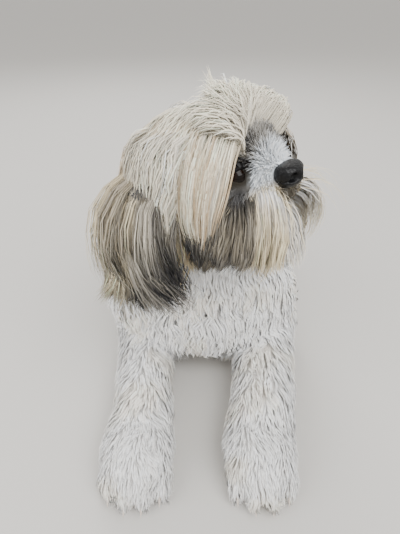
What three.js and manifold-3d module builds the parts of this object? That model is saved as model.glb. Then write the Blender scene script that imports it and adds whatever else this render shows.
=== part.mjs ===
// A life-size shih tzu, lying with its forelegs stretched out and its head turned to its left.
// Sizes are in millimetres. +Z is up, -Y is the way the chest faces and +X is the dog's left side.
// The origin is on the floor under the breastbone.
import * as THREE from "three";
import { mergeVertices } from "three/addons/utils/BufferGeometryUtils.js";
import Module from "manifold-3d";

const wasm = await Module();
wasm.setup();

const V = (x, y, z) => new THREE.Vector3(x, y, z);
const degrees = THREE.MathUtils.degToRad;
const mix = THREE.MathUtils.lerp;
const clamp = THREE.MathUtils.clamp;

// Driving sizes. The body's are out to the surface of its short coat.
const gap = 0.3; // between touching pieces
const chestHalf = 88;
const rumpHalf = 82;

const face = {
  centre: V(23, -68, 249),
  yaw: 51,
  pitch: 8,
  roll: 4,
  eye: { forward: 22, out: 23.5, up: 4.5, radius: 10.5, lid: 1.9, wide: 8.6, tall: 6.8 },
  nose: { forward: 52, up: 1, deep: 10.5, half: 12.5, tall: 9.5 },
};
const limbs = {
  left: { side: 1, elbow: 78, wrist: 60, paw: 53.5, thick: 31 },
  right: { side: -1, elbow: -64, wrist: -54, paw: -56, thick: 28.5 },
};
const pawHalf = 32;
const pawFront = -212;
const hindPaw = { x: 98, front: 126 };
const ear = { long: 70, wide: 54, thick: 7, forward: -26, out: 44, up: 20, lift: 10, cup: 5 };
const earFall = 0.6; // how quickly an ear turns down
const tailRoot = 15;
const tailTip = 8;
const lipStep = 1.2; // how far the lower lip lies inside the upper
const lockSunk = 4; // how deep a lock is rooted

// The head's own axes: forward along the muzzle, out to the dog's left, and up.
const yaw = degrees(face.yaw);
const pitch = degrees(face.pitch);
const forward = V(Math.sin(yaw) * Math.cos(pitch), -Math.cos(yaw) * Math.cos(pitch), Math.sin(pitch));
const outward = V(Math.cos(yaw), Math.sin(yaw), 0).applyAxisAngle(forward, degrees(face.roll));
const upward = new THREE.Vector3().crossVectors(forward, outward);
const headMatrix = new THREE.Matrix4().makeBasis(forward, outward, upward).setPosition(face.centre);
const worldToHead = headMatrix.clone().invert();
const onHead = (f, l, u) => V(f, l, u).applyMatrix4(headMatrix);
const alongHead = (f, l, u) => V(f, l, u).transformDirection(headMatrix);

// Fields: the distance from a point to a form's surface, negative inside.
const ball = (c, r) => (p) => {
  const x = (p.x - c.x) / r.x;
  const y = (p.y - c.y) / r.y;
  const z = (p.z - c.z) / r.z;
  const near = Math.hypot(x, y, z);
  const slope = Math.hypot(x / r.x, y / r.y, z / r.z);
  return slope > 1e-9 ? (near * (near - 1)) / slope : -Math.min(r.x, r.y, r.z);
};
const rod = (a, b, ra, rb) => {
  const along = b.clone().sub(a);
  const full = along.lengthSq();
  return (p) => {
    const x = p.x - a.x;
    const y = p.y - a.y;
    const z = p.z - a.z;
    const h = clamp((x * along.x + y * along.y + z * along.z) / full, 0, 1);
    return Math.hypot(x - along.x * h, y - along.y * h, z - along.z * h) - mix(ra, rb, h);
  };
};
// Forms melted together, each over its own width.
const melt = (forms) => (p) => {
  let d = 1e6;
  for (const [form, width] of forms) {
    const e = form(p);
    const h = Math.max(width - Math.abs(d - e), 0) / width;
    d = Math.min(d, e) - (h * h * width) / 4;
  }
  return d;
};

const headForms = [
  [ball(V(-16, 0, 4), V(56, 54, 45)), 1], // crown, with half of its coat
  [ball(V(12, 0, -4), V(32, 38, 26)), 12], // face
  [ball(V(2, -31, -18), V(34, 21, 27)), 12], // right cheek
  [ball(V(2, 31, -18), V(34, 21, 27)), 12], // left cheek
  [rod(V(20, 0, 6), V(46, 0, 1), 13, 10), 8], // bridge of the nose
  [ball(V(37, -11, -12), V(18, 15, 12)), 6], // lip cushions
  [ball(V(37, 11, -12), V(18, 15, 12)), 6],
  [ball(V(31, 0, -28), V(21, 17, 10)), 5], // chin
];
const headLocal = melt(headForms);
const headField = (p) => headLocal(p.clone().applyMatrix4(worldToHead));

const trunkForms = [
  [ball(V(2, 55, 82), V(chestHalf - 2, 112, 84.5)), 1], // ribs
  [ball(V(4, -16, 91), V(chestHalf, 62, 92.5)), 30], // breast
  [ball(V(0, 150, 80), V(80, 90, 76)), 30], // loin
  [ball(V(0, 225, 84), V(rumpHalf, 74, 80)), 30], // rump
  [rod(V(0, 6, 120), V(-2, -42, 205), 66, 52), 34], // neck
];
const limbForms = [];
for (const limb of Object.values(limbs)) {
  const s = limb.side;
  const elbow = V(limb.elbow, -6, 35);
  const wrist = V(limb.wrist, -132, limb.thick);
  const knee = V(s * 82, 168, 54);
  const hock = V(s * 84, 262, 24);
  const heel = V(s * 97, 176, 18);
  trunkForms.push([rod(V(s * 62, -30, 100), elbow, 34, limb.thick), 22]); // upper arm
  trunkForms.push([rod(V(s * 50, 228, 92), knee, 50, 34), 24]); // thigh
  const forearm = rod(elbow, wrist, limb.thick + 2, limb.thick - 2);
  trunkForms.push([rod(elbow, elbow.clone().lerp(wrist, 0.3), limb.thick + 2, limb.thick + 1), 14]);
  limbForms.push([forearm, 14]);
  limbForms.push([ball(V(limb.paw, pawFront + 44, 24), V(pawHalf, 42, 27)), 14]);
  limbForms.push([rod(knee, hock, 30, 21), 14]); // shank
  limbForms.push([rod(hock, heel, 20, 18), 10]); // hind foot
  limbForms.push([ball(V(s * hindPaw.x, hindPaw.front + 36, 19), V(24, 30, 20)), 8]);
}
const trunkField = melt(trunkForms);
const bodyOnly = melt([...trunkForms, ...limbForms]);
const wholeField = melt([[bodyOnly, 1], [headField, 22]]);

function slope(field, p) {
  const step = 0.5;
  const across = (axis) =>
    field(p.clone().addScaledVector(axis, step)) - field(p.clone().addScaledVector(axis, -step));
  return V(across(V(1, 0, 0)), across(V(0, 1, 0)), across(V(0, 0, 1))).normalize();
}

// Where a ray from inside leaves the field's surface.
function leave(field, from, along, level = 0, reach = 260) {
  let near = 0;
  let far = 0;
  const at = (t) => field(from.clone().addScaledVector(along, t)) - level;
  for (; far < reach; far += Math.max(0.8, Math.abs(at(far)) * 0.6)) {
    if (at(far) > 0) break;
    near = far;
  }
  for (let n = 0; n < 14; n++) {
    const middle = (near + far) / 2;
    if (at(middle) > 0) far = middle;
    else near = middle;
  }
  return from.clone().addScaledVector(along, Math.min(near, reach));
}

// A closed grid of rings with a pole at each end.
function ringed(first, rings, last) {
  const around = rings[0].length;
  const points = [first, ...rings.flat(), last];
  const index = [];
  const at = (ring, n) => 1 + ring * around + (n % around);
  for (let n = 0; n < around; n++) {
    index.push(0, at(0, n), at(0, n + 1));
    index.push(points.length - 1, at(rings.length - 1, n + 1), at(rings.length - 1, n));
    for (let r = 0; r + 1 < rings.length; r++) {
      index.push(at(r, n), at(r + 1, n), at(r, n + 1));
      index.push(at(r, n + 1), at(r + 1, n), at(r + 1, n + 1));
    }
  }
  return new THREE.BufferGeometry().setFromPoints(points).setIndex(index);
}

// A skin round a spine: rays leave it forwards at its start, sideways along it and backwards at its end.
function skin({ spine, caps, side, around, field, level = 0, reach = 260, aside = V(1, 0, 0) }) {
  const curve = spine.length > 2 ? new THREE.CatmullRomCurve3(spine) : new THREE.LineCurve3(...spine);
  const rings = [];
  const ends = [];
  const ray = (t, tilt, turn) => {
    const from = curve.getPointAt(t);
    const along = curve.getTangentAt(t);
    const over = new THREE.Vector3().crossVectors(aside, along).normalize();
    const across = new THREE.Vector3().crossVectors(along, over);
    const way = along.multiplyScalar(-Math.cos(tilt));
    way.addScaledVector(across, Math.sin(tilt) * Math.cos(turn));
    way.addScaledVector(over, Math.sin(tilt) * Math.sin(turn));
    return leave(field, from, way.normalize(), level, reach);
  };
  const stations = [];
  for (let n = 1; n <= caps; n++) stations.push([0, (n / (caps + 1)) * (Math.PI / 2)]);
  for (let n = 0; n <= side; n++) stations.push([n / side, Math.PI / 2]);
  for (let n = caps; n >= 1; n--) stations.push([1, Math.PI - (n / (caps + 1)) * (Math.PI / 2)]);
  for (const [t, tilt] of stations) {
    rings.push(Array.from({ length: around }, (_, n) => ray(t, tilt, (n / around) * 2 * Math.PI)));
  }
  ends.push(ray(0, 0, 0), ray(1, Math.PI, 0));
  return solid(ringed(ends[0], rings, ends[1]));
}

// A closed three.js geometry as a solid that can be joined and cut.
function solid(geometry, matrix = new THREE.Matrix4()) {
  const bare = geometry.clone().applyMatrix4(matrix);
  for (const name of ["normal", "uv"]) bare.deleteAttribute(name);
  const merged = mergeVertices(bare, 1e-4);
  const made = new wasm.Manifold(
    new wasm.Mesh({
      numProp: 3,
      vertProperties: merged.attributes.position.array,
      triVerts: new Uint32Array(merged.index.array),
    }),
  );
  if (made.volume() < 0) throw new Error("a form is inside out");
  return made;
}
const join = (pieces) => pieces.reduce((sum, piece) => sum.add(piece));
const largest = (piece) =>
  piece.decompose().reduce((best, next) => (next.volume() > best.volume() ? next : best));

// Half of space, as a large box whose face passes through a point.
function beyond(point, normal) {
  const size = 900;
  const turn = new THREE.Quaternion().setFromUnitVectors(V(0, 0, 1), normal.clone().normalize());
  const centre = point.clone().addScaledVector(normal.clone().normalize(), size / 2);
  return solid(
    new THREE.BoxGeometry(size, size, size),
    new THREE.Matrix4().compose(centre, turn, V(1, 1, 1)),
  );
}
// What lies on the far side of a plane is cut away, and half of the gap with it.
const trim = (piece, point, normal) =>
  piece.subtract(beyond(point.clone().addScaledVector(normal.clone().normalize(), -gap / 2), normal));
// A box between two corners, grown by a margin, in the world's or the head's axes.
function block(low, high, margin = 0, matrix = new THREE.Matrix4()) {
  const size = high.clone().sub(low).addScalar(2 * margin);
  const centre = low.clone().add(high).multiplyScalar(0.5);
  const box = new THREE.BoxGeometry(size.x, size.y, size.z).translate(centre.x, centre.y, centre.z);
  return solid(box, matrix);
}
const egg = (at, radii, margin = 0, matrix = new THREE.Matrix4(), fine = 16) =>
  solid(
    new THREE.SphereGeometry(1, fine, Math.round(fine * 0.7))
      .scale(radii.x + margin, radii.y + margin, radii.z + margin)
      .translate(at.x, at.y, at.z),
    matrix,
  );

// Planes and boxes that part the body where a person would name its parts.
const neckBase = { point: V(0, -20, 152), normal: V(0, -0.42, 0.9) };
const neckTop = { point: V(-4, -38, 206), normal: V(0.1, -0.35, 0.93) };
const forelegBox = {
  left: [V(30, -270, -20), V(140, 26, 64)],
  right: [V(-140, -270, -20), V(-28, 26, 64)],
};
const hindlegBox = {
  left: [V(46, 112, -20), V(170, 330, 88)],
  right: [V(-170, 112, -20), V(-46, 330, 88)],
};
const ground = (piece) => piece.subtract(beyond(V(0, 0, 0), V(0, 0, -1)));

// Torso, neck and limbs are cut from one body; each is followed from its own spine.
const torsoSkin = (level = 0) =>
  skin({
    spine: [V(3, -8, 84), V(0, 222, 84)],
    caps: 4,
    side: 8,
    around: 24,
    field: trunkField,
    level,
    reach: 190,
  });
function buildTorso() {
  let piece = trim(torsoSkin(), neckBase.point, neckBase.normal);
  for (const [low, high] of [...Object.values(forelegBox), ...Object.values(hindlegBox)]) {
    piece = piece.subtract(block(low, high, gap / 2));
  }
  return ground(piece);
}

const neckSkin = (level = 0) =>
  skin({
    spine: [V(0, -2, 130), V(-2, -40, 202)],
    caps: 3,
    side: 6,
    around: 26,
    field: wholeField,
    level,
    reach: 110,
  });
function buildNeck() {
  const above = trim(neckSkin(), neckBase.point, neckBase.normal.clone().negate());
  return trim(above, neckTop.point, neckTop.normal);
}

// Four rounded toes for each foot, and the claw of each.
const fores = { gap: 14.5, size: V(9.6, 18, 14), lead: [17, 25], rise: [14.5, 13] };
const hinds = { gap: 11, size: V(7.4, 14, 11), lead: [13, 17], rise: [11.5, 10.5] };
const toeFine = 7;
const toeSteps = [-1.5, -0.5, 0.5, 1.5];
function toesOf(side, which) {
  const limb = limbs[side];
  const foot = which === "fore" ? fores : hinds;
  const x = which === "fore" ? limb.paw : limb.side * hindPaw.x;
  const front = which === "fore" ? pawFront : hindPaw.front;
  return toeSteps.map((toe) => {
    const outer = Math.abs(toe) > 1 ? 1 : 0;
    return { at: V(x + toe * foot.gap, front + foot.lead[outer], foot.rise[outer]), size: foot.size };
  });
}
const rounded = (toe) => egg(toe.at, toe.size, 0, undefined, toeFine);
const toes = (side, which) => join(toesOf(side, which).map(rounded));

function buildForeleg(side) {
  const limb = limbs[side];
  const piece = skin({
    spine: [
      V(limb.elbow, -2, 34),
      V(mix(limb.elbow, limb.wrist, 0.5), -70, 31),
      V(limb.wrist, -132, 28),
      V(limb.paw, pawFront + 32, 22),
    ],
    caps: 3,
    side: 6,
    around: 14,
    field: bodyOnly,
    reach: 75,
  });
  const paw = piece.add(toes(side, "fore"));
  return ground(paw.intersect(block(...forelegBox[side], -gap / 2)));
}

function buildHindleg(side) {
  const s = limbs[side].side;
  const piece = skin({
    spine: [V(s * 90, 165, 40), V(s * 80, 200, 46), V(s * 76, 250, 40)],
    caps: 3,
    side: 4,
    around: 14,
    field: bodyOnly,
    reach: 110,
  });
  const foot = piece.add(toes(side, "hind"));
  return ground(foot.intersect(block(...hindlegBox[side], -gap / 2)));
}

// Claws, each a bent cone set in the front of its toe.
const claw = { root: 2.7, fall: 4.5, sunk: 7, out: 6 };
function buildClaw(toe, margin = 0) {
  const long = claw.sunk + claw.out;
  const x = toe.at.x;
  const y = toe.at.y - toe.size.y + claw.sunk;
  const z = toe.at.z * 0.8;
  const rings = [0, 0.35, 0.7].map((t) => {
    const radius = claw.root * (1 - t * 0.75) + margin;
    const centre = V(x, y - long * t, z - claw.fall * t * t);
    return Array.from({ length: 6 }, (_, k) => {
      const turn = (k / 6) * 2 * Math.PI;
      return centre.clone().add(V(-Math.cos(turn) * radius * 0.75, 0, Math.sin(turn) * radius));
    });
  });
  return solid(ringed(V(x, y + margin, z), rings, V(x, y - long - margin, z - claw.fall)));
}

const tailPath = [V(2, 270, 122), V(5, 304, 138), V(12, 306, 168), V(24, 270, 184), V(38, 226, 176)];
function tailForms() {
  const curve = new THREE.CatmullRomCurve3(tailPath);
  const parts = 12;
  return Array.from({ length: parts }, (_, n) => {
    const radius = (t) => mix(tailRoot, tailTip, t);
    const a = n / parts;
    const b = (n + 1) / parts;
    return [rod(curve.getPointAt(a), curve.getPointAt(b), radius(a), radius(b)), 4];
  });
}
const tailField = melt(tailForms());
const buildTail = (level = 0) =>
  skin({ spine: tailPath, caps: 2, side: 9, around: 8, field: tailField, level, reach: 40 });

// The head's mass above its neck.
function headMass(level = 0) {
  const piece = skin({
    spine: [onHead(22, 0, -8), onHead(-24, 0, 0)],
    caps: 6,
    side: 3,
    around: 26,
    field: wholeField,
    level,
    reach: 95,
    aside: outward,
  });
  return trim(piece, neckTop.point, neckTop.normal.clone().negate());
}

const eyeAt = (s) => onHead(face.eye.forward, s * face.eye.out, face.eye.up);
const gaze = (s) => alongHead(0.88, s * 0.46, 0.05);
const eyeBall = (s, margin = 0) =>
  egg(eyeAt(s), V(1, 1, 1).multiplyScalar(face.eye.radius), margin, undefined, 12);
// The almond opening between the lids widens outwards along the gaze.
function lidOpening(s) {
  const long = 40;
  const wide = (face.eye.wide / face.eye.radius) * long;
  const tall = (face.eye.tall / face.eye.radius) * long;
  const cone = new THREE.ConeGeometry(1, long, 20).rotateX(-Math.PI / 2).translate(0, 0, long / 2);
  cone.scale(wide, tall, 1);
  const across = new THREE.Vector3().crossVectors(upward, gaze(s)).normalize();
  const over = new THREE.Vector3().crossVectors(gaze(s), across);
  return solid(cone, new THREE.Matrix4().makeBasis(across, over, gaze(s)).setPosition(eyeAt(s)));
}

function noseForm(margin = 0) {
  const n = face.nose;
  return egg(V(n.forward, 0, n.up), V(n.deep, n.half, n.tall), margin, headMatrix, 14);
}
function buildNose() {
  const n = face.nose;
  let piece = noseForm();
  for (const s of [-1, 1]) {
    piece = piece.subtract(egg(V(n.forward + 9.5, s * 5.4, n.up - 1), V(5, 2.4, 2.7), 0, headMatrix, 8));
    piece = piece.subtract(egg(V(n.forward + 5.5, s * 9.6, n.up - 1.5), V(5, 3.4, 1.1), 0, headMatrix, 8));
  }
  return piece;
}

// The muzzle is the bridge between the eyes and the lip cushions under it.
const muzzleZone = (margin) =>
  join([
    block(V(27, -12, -60), V(110, 12, 15), margin, headMatrix),
    block(V(24, -30, -60), V(110, 30, -9.5), margin, headMatrix),
  ]);
const mouth = { point: onHead(58, 0, -20.5), normal: alongHead(-0.2, 0, 0.98) };

function faceParts() {
  const sockets = join([-1, 1].map((s) => eyeBall(s, gap)));
  const openings = join([-1, 1].map(lidOpening));
  const lids = join([-1, 1].map((s) => eyeBall(s, face.eye.lid)));
  const whole = headMass().add(lids).subtract(sockets).subtract(openings).subtract(noseForm(gap));
  const chin = headMass(-lipStep).subtract(noseForm(gap));
  return {
    head: whole.subtract(muzzleZone(gap / 2)),
    muzzle: trim(whole.intersect(muzzleZone(-gap / 2)), mouth.point, mouth.normal.clone().negate()),
    jaw: trim(chin.intersect(muzzleZone(-gap / 2)), mouth.point, mouth.normal),
  };
}

// An ear's leather: a broad flap that hangs from its root line, bent round the head and cupped inside.
function earRows(s) {
  const rows = [];
  let heading = alongHead(-0.2, s * 0.6, -0.2);
  let point = onHead(ear.forward, s * (ear.out - 8), ear.up);
  const steps = 8;
  for (let n = 0; n <= steps; n++) {
    rows.push(point.clone());
    heading.add(V(0, 0, -earFall)).normalize();
    const next = point.clone().addScaledVector(heading, ear.long / steps);
    const short = ear.lift - headField(next);
    if (short > 0 && n > 1) next.addScaledVector(slope(headField, next), short);
    heading = next.clone().sub(point).normalize();
    point = next;
  }
  return rows;
}
function buildEar(s, margin = 0) {
  const path = earRows(s);
  const rings = path.map((centre, n) => {
    const t = n / (path.length - 1);
    const half = (ear.wide / 2) * Math.sqrt(Math.max(0.02, 1 - (1.35 * t - 0.4) ** 2)) + margin;
    const thick = ear.thick / 2 + margin;
    const out = slope(headField, centre);
    const along = path[Math.min(n + 1, path.length - 1)].clone().sub(path[Math.max(n - 1, 0)]).normalize();
    const across = new THREE.Vector3().crossVectors(along, out).normalize();
    const over = new THREE.Vector3().crossVectors(across, along);
    return Array.from({ length: 14 }, (_, k) => {
      const turn = (k / 14) * 2 * Math.PI;
      const x = Math.cos(turn);
      const cup = -ear.cup * x * x * Math.sin(Math.PI * t);
      return centre
        .clone()
        .addScaledVector(across, half * x)
        .addScaledVector(over, thick * Math.sin(turn) + cup);
    });
  });
  return solid(ringed(path[0], rings, path[path.length - 1]));
}

// A lock is a flat tapered strip. It starts inside its form, lies along it and droops to a tip.
const lockWidths = [0.85, 1, 0.75];
const lockThins = [0.9, 1, 0.8];
const lockLifts = [0.6, 1, 0.8]; // how far it lies off the skin, as a share of its lift
const settle = 0.18; // how strongly it is drawn back to the skin
const lockBends = [1, 1.3, 0.9]; // length of each stretch, to the tip
const lockUsual = { field: wholeField, thick: 4, droop: 0.3, lift: 4, sway: 0, rise: 0.35, draw: settle };
function lock(form, margin) {
  const { field, at, way, long, wide, thick, droop, lift, sway, rise, draw } = { ...lockUsual, ...form };
  const normal = slope(field, at);
  let centre = at.clone().addScaledVector(normal, -lockSunk);
  let heading = way.clone().addScaledVector(normal, rise).normalize();
  const first = centre.clone().addScaledVector(heading, -margin);
  const steps = lockWidths.length;
  const rings = [];
  for (let n = 0; n < steps; n++) {
    const out = slope(field, centre);
    const across = new THREE.Vector3().crossVectors(heading, out).normalize();
    const over = new THREE.Vector3().crossVectors(across, heading);
    const half = (wide / 2) * lockWidths[n] + margin;
    const thin = (thick / 2) * lockThins[n] + margin;
    rings.push([
      centre.clone().addScaledVector(across, -half),
      centre.clone().addScaledVector(over, -thin),
      centre.clone().addScaledVector(across, half),
      centre.clone().addScaledVector(over, thin),
    ]);
    heading.add(V(0, 0, -droop)).addScaledVector(across, sway * Math.sin(n * 1.9 + 1));
    heading.addScaledVector(out, -draw * n).normalize();
    const next = centre.clone().addScaledVector(heading, (long * lockBends[n]) / 3.2);
    const short = lift * lockLifts[n] - field(next);
    if (short > 0) next.addScaledVector(slope(field, next), short);
    heading = next.clone().sub(centre).normalize();
    centre = next;
  }
  return solid(ringed(first, rings, centre.addScaledVector(heading, margin)));
}
// The same locks drawn at their size, or grown by a margin to cut their neighbours clear.
const locks = (list, margin = 0) => join(list.map((each) => lock(each, margin)));

let seed = 8;
function chance(low, high) {
  seed = (seed * 1664525 + 1013904223) % 4294967296;
  return mix(low, high, seed / 4294967296);
}
const varied = (each) => ({
  ...each,
  long: each.long * chance(0.86, 1.12),
  wide: each.wide * chance(0.85, 1.15),
  sway: chance(-0.22, 0.22),
  lift: each.lift + chance(0, 2),
});
// A root on the head, found from inside it along a direction in the head's axes.
const headRoot = (from, along) => leave(wholeField, onHead(...from), alongHead(...along).normalize(), 0, 95);

function headLocks() {
  const list = [];
  for (let n = -2.5; n <= 2.5; n++) {
    const a = n * 0.42;
    list.push({
      at: headRoot([16, n * 5, 6], [0.62, n * 0.07, 0.8]),
      way: alongHead(-0.75, Math.sin(a) * 0.9, Math.cos(a) * 0.6),
      ...{ long: 44, wide: 16, thick: 3.5, droop: 0.2, lift: 6, rise: 0.4 },
    });
    list.push({
      at: headRoot([0, n * 7, 4], [0.25, n * 0.14, 1]),
      way: alongHead(-0.6, Math.sin(a * 1.25) * 1.3, 0.3),
      ...{ long: 60, wide: 20, droop: 0.45, lift: 6 },
    });
  }
  const tiers = [
    { turn: 0.25, long: 76, wide: 22, lift: 7 },
    { turn: 0.72, long: 68, wide: 21, lift: 6 },
    { turn: 1.15, long: 60, wide: 18, lift: 5 },
  ];
  for (const s of [-1, 1]) {
    tiers.forEach(({ turn, long, wide, lift }, tier) => {
      for (let n = 0; n < 5; n++) {
        const f = mix(14, -56, (n + (tier % 2) / 2) / 4.5);
        const overEar = f < -6 && f > -50;
        if (overEar && tier > 0) continue;
        list.push({
          at: headRoot([f * 0.85, 0, 0], [f * 0.004, s * Math.sin(turn), Math.cos(turn)]),
          way: alongHead(0.12 - n * 0.07, s * Math.cos(turn * 0.7), -Math.sin(turn)),
          long: overEar ? long * 0.8 : long,
          wide,
          droop: 0.75,
          lift,
        });
      }
    });
    for (let n = 0; n < 3; n++) {
      for (const [u, long, lift] of [[-5, 56, 6], [-20, 40, 3]]) {
        const f = mix(20, -8, n / 2);
        list.push({
          at: headRoot([f * 0.6, 0, u], [f * 0.012, s, -0.05]),
          way: alongHead(0.12 - n * 0.07, s * 0.35, -1),
          ...{ long, wide: 19, droop: 0.4, lift },
        });
      }
    }
  }
  for (let n = -1.5; n <= 1.5; n++) {
    list.push({
      at: headRoot([-28, 0, -4], [-1, n * 0.5, 0.3]),
      way: alongHead(-0.3, n * 0.18, -1),
      ...{ long: 72, wide: 26, droop: 0.25, lift: 6 },
    });
  }
  return list.map(varied);
}

function muzzleLocks() {
  const list = [];
  for (const s of [-1, 1]) {
    for (let n = 0; n < 4; n++) {
      for (const [u, long, lift] of [[-15, 58, 6], [-8, 50, 13]]) {
        list.push({
          at: headRoot([36 - n * 3.3, s * (7 + n * 1.7), u], [1 - n * 0.26, s * (0.25 + n * 0.42), -0.25]),
          way: alongHead(0.2 - n * 0.1, s * (0.75 + n * 0.12), -0.5),
          ...{ long, wide: 14, thick: 3.5, droop: 0.4, lift },
        });
      }
    }
  }
  return list.map(varied);
}

function jawLocks() {
  const list = [];
  for (let n = -1.5; n <= 1.5; n++) {
    for (const [f, long] of [[0.75, 46], [0.2, 50]]) {
      list.push({
        at: headRoot([30, n * 4, -27], [f, n * 0.3, -0.9]),
        way: alongHead(0.12, n * 0.14, -1),
        long,
        wide: 13,
        thick: 3.5,
        droop: 0.2,
        lift: 2,
      });
    }
  }
  return list.map(varied);
}

function earLocks(s) {
  const rows = earRows(s);
  const list = [];
  for (let n = 1; n < rows.length; n += 2.7) {
    const row = Math.floor(n);
    const along = rows[row].clone().sub(rows[row - 1]).normalize();
    const out = slope(headField, rows[row]);
    const across = new THREE.Vector3().crossVectors(along, out).normalize();
    const back = across.dot(forward) < 0 ? 1 : -1;
    const t = n / (rows.length - 1);
    for (const k of [-1, -0.4, 0.3, 1]) {
      list.push({
        at: rows[row].clone().addScaledVector(across, k * back * ear.wide * 0.4 * (1 - t * 0.3)),
        way: along.clone().add(alongHead(0.35 - k * 0.4, 0, 0).multiplyScalar(0.6)),
        long: mix(60, 76, t) + 14 * Math.max(k, 0),
        wide: 23,
        droop: 0.5,
        lift: ear.lift + 9 + (1 - t) * 4,
        rise: 0.3,
        draw: 0,
      });
    }
  }
  return list.map(varied);
}

function tailLocks() {
  const curve = new THREE.CatmullRomCurve3(tailPath);
  const field = melt([[bodyOnly, 1], [tailField, 1]]);
  const list = [];
  for (let n = 1; n <= 5; n++) {
    const t = n / 5.4;
    const along = curve.getTangentAt(t);
    const side = new THREE.Vector3().crossVectors(along, V(0, 0, 1)).normalize();
    for (const turn of [-1.4, 0, 1.4]) {
      const over = new THREE.Vector3().crossVectors(side, along);
      const out = side.clone().multiplyScalar(Math.sin(turn)).addScaledVector(over, Math.cos(turn));
      list.push({
        field,
        at: leave(field, curve.getPointAt(t), out.normalize(), 0, 30),
        way: along.clone().add(out.setZ(Math.min(out.z, 0.1)).multiplyScalar(0.8)),
        ...{ long: 54, wide: 24, droop: 0.7, lift: 2, rise: 0 },
      });
    }
  }
  return list.map(varied);
}

// Locks are cut clear of what lies in front of them: lips first, then chin, ears, head and breast.
const cores = faceParts();
const headNear = headMass(gap);
const bodyNear = join([torsoSkin(gap), neckSkin(gap)]);
const aboveMouth = (piece) => trim(piece, mouth.point, mouth.normal.clone().negate());
const belowMouth = (piece) => trim(piece, mouth.point, mouth.normal);
const coat = {
  muzzle: muzzleLocks(),
  jaw: jawLocks(),
  right: earLocks(-1),
  left: earLocks(1),
  head: headLocks(),
  tail: tailLocks(),
};
const sight = join([...[-1, 1].map(lidOpening), ...[-1, 1].map((s) => eyeBall(s, gap)), noseForm(gap)]);
const lipHair = locks(coat.muzzle).subtract(headNear.subtract(aboveMouth(muzzleZone(-gap))));
const lipNear = locks(coat.muzzle, gap);
const chinHair = locks(coat.jaw)
  .subtract(headNear.subtract(belowMouth(muzzleZone(-gap))))
  .subtract(lipNear);
const faceNear = lipNear.add(locks(coat.jaw, gap)).add(headNear.intersect(muzzleZone(gap / 2)));
const ears = {};
const earsNear = [];
for (const [side, s] of [["left", 1], ["right", -1]]) {
  const hair = coat[side];
  ears[side] = buildEar(s).add(locks(hair)).subtract(faceNear).subtract(headNear).subtract(bodyNear);
  earsNear.push(buildEar(s, gap).add(locks(hair, gap)));
}
const frontNear = join([faceNear, ...earsNear]);
const crownHair = locks(coat.head).subtract(frontNear).subtract(sight);
const pieces = {
  torso: buildTorso(),
  neck: buildNeck(),
  head: cores.head.add(crownHair.subtract(bodyNear)),
  muzzle: cores.muzzle.add(lipHair.subtract(sight).subtract(bodyNear)),
  jaw: cores.jaw.add(chinHair.subtract(sight).subtract(bodyNear)),
  nose: buildNose(),
};
pieces.tail = buildTail().add(locks(coat.tail)).subtract(torsoSkin(gap));
const claws = {};
const clawSeats = [];
for (const side of ["left", "right"]) {
  for (const which of ["fore", "hind"]) {
    toesOf(side, which).forEach((toe, n) => {
      claws[`claw_${which}_${side}_${n + 1}`] = buildClaw(toe);
      clawSeats.push(buildClaw(toe, gap));
    });
  }
}
const toeHoles = join(clawSeats);
for (const side of ["left", "right"]) {
  pieces[`foreleg_${side}`] = buildForeleg(side).subtract(toeHoles);
  pieces[`hindleg_${side}`] = buildHindleg(side).subtract(toeHoles);
  pieces[`eye_${side}`] = eyeBall(limbs[side].side);
  pieces[`ear_${side}`] = ears[side];
}
Object.assign(pieces, claws);

const looks = [
  [/^eye/, { name: "eye", color: 0x120c09, roughness: 0.08 }],
  [/^nose/, { name: "nose", color: 0x161414, roughness: 0.4 }],
  [/^claw/, { name: "claw", color: 0x4a4038, roughness: 0.45 }],
  [/^ear/, { name: "ear coat", color: 0x8d7b68, roughness: 0.9 }],
  [/./, { name: "coat", color: 0xe9e2d3, roughness: 0.85 }],
];
const materials = new Map();
const root = new THREE.Group();
root.name = "shih tzu";
for (const [name, piece] of Object.entries(pieces)) {
  const [, look] = looks.find(([pattern]) => pattern.test(name));
  if (!materials.has(look.name)) {
    materials.set(look.name, new THREE.MeshStandardMaterial({ ...look, metalness: 0 }));
  }
  const body = largest(piece);
  const { vertProperties, triVerts } = body.getMesh();
  const geometry = new THREE.BufferGeometry();
  geometry.setAttribute("position", new THREE.BufferAttribute(vertProperties, 3));
  geometry.setIndex(new THREE.BufferAttribute(triVerts, 1));
  geometry.computeVertexNormals();
  const mesh = new THREE.Mesh(geometry, materials.get(look.name));
  mesh.name = name;
  root.add(mesh);
}

export default root;
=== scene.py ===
import math
import bpy
import numpy as np
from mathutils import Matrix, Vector


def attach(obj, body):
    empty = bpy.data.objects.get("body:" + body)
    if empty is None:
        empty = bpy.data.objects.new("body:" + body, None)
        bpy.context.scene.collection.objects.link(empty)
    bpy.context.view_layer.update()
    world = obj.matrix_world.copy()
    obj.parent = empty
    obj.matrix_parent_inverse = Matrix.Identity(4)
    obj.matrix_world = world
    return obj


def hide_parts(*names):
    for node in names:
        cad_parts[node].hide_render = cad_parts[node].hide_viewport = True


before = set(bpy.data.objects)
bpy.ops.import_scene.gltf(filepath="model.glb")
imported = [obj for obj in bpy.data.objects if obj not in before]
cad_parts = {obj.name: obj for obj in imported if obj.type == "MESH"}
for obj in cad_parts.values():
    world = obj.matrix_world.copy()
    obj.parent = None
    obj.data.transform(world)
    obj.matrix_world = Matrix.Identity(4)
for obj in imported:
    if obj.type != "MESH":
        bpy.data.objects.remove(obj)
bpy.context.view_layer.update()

rng = np.random.default_rng(11)
mm = 0.001
down = np.array([0.0, 0.0, -1.0])

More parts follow.
